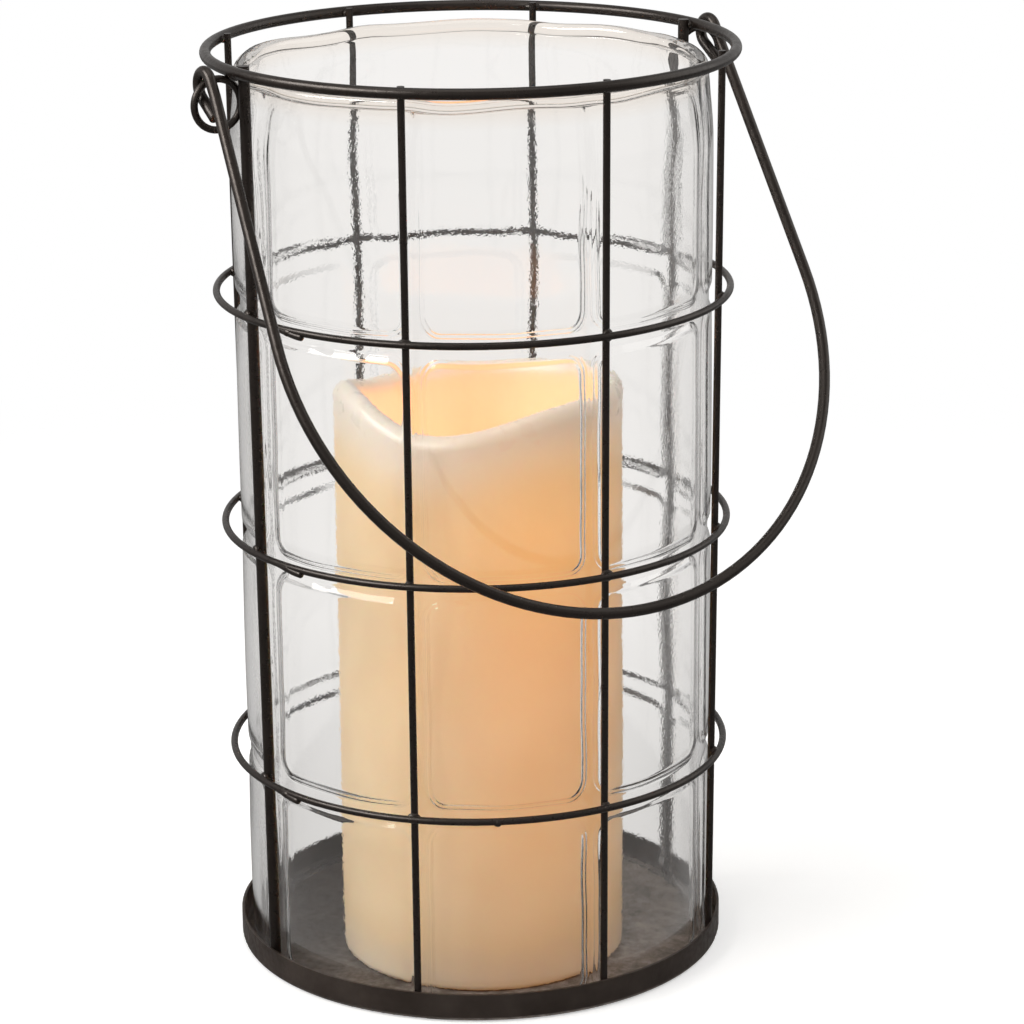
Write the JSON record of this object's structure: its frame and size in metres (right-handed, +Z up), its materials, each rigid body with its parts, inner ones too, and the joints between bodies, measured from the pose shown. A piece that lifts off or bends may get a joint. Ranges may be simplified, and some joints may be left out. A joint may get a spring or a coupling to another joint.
{
  "type": "candle lantern",
  "caption": "Wire-cage candle lantern with a swinging bail, a lift-out blown-glass sleeve of pillow panes and a glowing flameless pillar candle standing in a shallow base pan.",
  "frame": {"origin": "on the cage's axis, at the underside of the base pan", "axes": "+Z up along the cage's axis, +X through the right ear along the bail's hinge, so that the hanging bail leans out over -Y"},
  "size_m": [0.1864, 0.1814, 0.2876],
  "materials": {
    "black_wire": "satin black-brown over welded wire",
    "black_pan": "satin black-brown sheet",
    "clear_glass": "clear mould-blown, fire-polished lip",
    "ivory_wax": "soft satin wax, lit from inside",
    "housing_plastic": "moulded",
    "cell_can": "bare can",
    "contact_strip": "nickel-plated strip",
    "board": "coated board",
    "lamp_lens": "diffused dome",
    "lead_wire": "insulated",
    "switch_black": "moulded"
  },
  "bodies": {
    "cage": {"base_pan": "black_pan", "top_ring": "black_wire", "hoop_upper": "black_wire", "hoop_middle": "black_wire", "hoop_lower": "black_wire", "upright_1": "black_wire", "upright_2": "black_wire", "upright_3": "black_wire", "upright_4": "black_wire", "upright_5": "black_wire", "upright_6": "black_wire", "upright_7": "black_wire", "upright_8": "black_wire", "ear_right": "black_wire", "ear_left": "black_wire"},
    "bail": {"bail_handle": "black_wire"},
    "glass": {"glass_cylinder": "clear_glass"},
    "candle": {"wax_shell": "ivory_wax", "battery_housing": "housing_plastic", "battery_1": "cell_can", "battery_2": "cell_can", "positive_contact": "contact_strip", "negative_contact": "contact_strip", "circuit_board": "board", "lamp_holder": "housing_plastic", "lamp": "lamp_lens", "lamp_leads": "lead_wire", "switch_case": "switch_black", "switch_leads": "lead_wire"},
    "cover": {"battery_cover": "housing_plastic", "bridge_contact": "contact_strip"},
    "switch": {"switch_slider": "switch_black"}
  },
  "joints": [
    {"name": "bail_swing", "type": "hinge", "parent": "cage", "child": "bail", "pos_m": [0, 0.00283, 0.28162], "axis": [-1, 0, 0], "range_deg": [0, 285]},
    {"name": "glass_lift", "type": "slide", "parent": "cage", "child": "glass", "axis": [0, 0, 1], "range_m": [0, 0.29]},
    {"name": "candle_lift", "type": "slide", "parent": "cage", "child": "candle", "axis": [0, 0, 1], "range_m": [0, 0.29]},
    {"name": "cover_twist", "type": "hinge", "parent": "candle", "child": "cover", "pos_m": [-0.0112, -0.01, 0.006], "axis": [0, 0, 1], "range_deg": [0, 45]},
    {"name": "switch_slide", "type": "slide", "parent": "candle", "child": "switch", "axis": [0, 1, 0], "range_m": [0, 0.003]}
  ]
}
